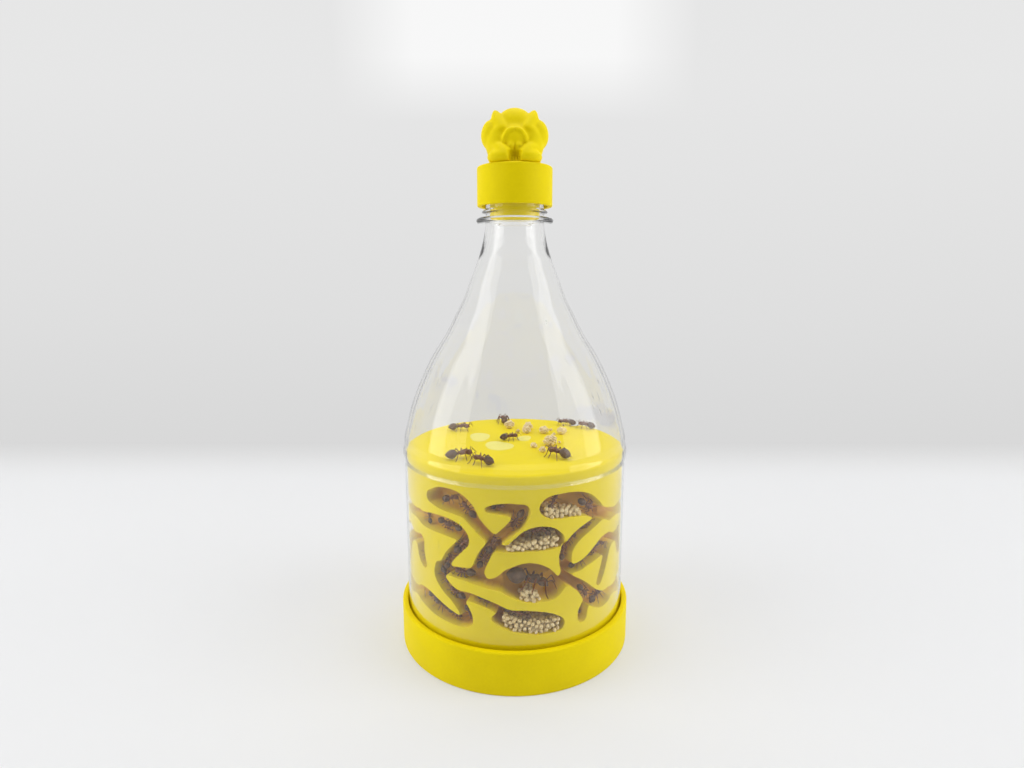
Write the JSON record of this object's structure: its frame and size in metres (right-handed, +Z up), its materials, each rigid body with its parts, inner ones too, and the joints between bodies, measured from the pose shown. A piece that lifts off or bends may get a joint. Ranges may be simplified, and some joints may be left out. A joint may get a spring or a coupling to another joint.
{
  "type": "ant habitat",
  "caption": "Nest drum with carved galleries in a base cup, under a clear cut bottle closed by a vented plug and a screw cap topped by an ant's head.",
  "frame": {"origin": "centre of the face that the base cup rests on", "axes": "+Z up along the bottle's axis, the habitat's front and the ant's face look along -Y"},
  "size_m": [0.1048, 0.1048, 0.2336],
  "materials": {
    "printed_yellow": "printed in fine layers, satin",
    "clear_wall": "clear blown plastic, glossy",
    "steel_mesh": "fine woven",
    "sponge": "open cells, damp",
    "ant_shell": "dark brown, satin",
    "brood": "pale, soft",
    "seed": "dry, rough",
    "sugar": "milky, wet"
  },
  "bodies": {
    "base": {"base_cup": "printed_yellow", "moisture_sponge": "sponge"},
    "nest": {"nest_drum": "printed_yellow", "queen_ant": "ant_shell", "deck_ants": "ant_shell", "upper_ants": "ant_shell", "middle_ants": "ant_shell", "lower_ants": "ant_shell", "rear_ants": "ant_shell", "queen_brood": "brood", "middle_brood": "brood", "upper_brood": "brood", "grain_store": "seed", "rear_brood": "brood", "seed_crumbs": "seed", "sugar_drops": "sugar"},
    "bottle": {"bottle": "clear_wall"},
    "plug": {"neck_plug": "printed_yellow", "vent_mesh": "steel_mesh"},
    "cap": {"screw_cap": "printed_yellow", "ant_head": "printed_yellow"}
  },
  "joints": [
    {"name": "nest_lift", "type": "slide", "parent": "base", "child": "nest", "axis": [0, 0, 1], "range_m": [0, 0.08]},
    {"name": "bottle_lift", "type": "slide", "parent": "nest", "child": "bottle", "axis": [0, 0, 1], "range_m": [0, 0.1]},
    {"name": "cap_lift", "type": "slide", "parent": "bottle", "child": "plug", "axis": [0, 0, 1], "range_m": [0, 0.0077]},
    {"name": "cap_turn", "type": "hinge", "parent": "plug", "child": "cap", "pos_m": [0, 0, 0.2], "axis": [0, 0, 1], "range_deg": [0, 864]}
  ],
  "couplings": [
    {"joint": "cap_lift", "follows": "cap_turn", "m_per_rad": 0.00050611}
  ]
}
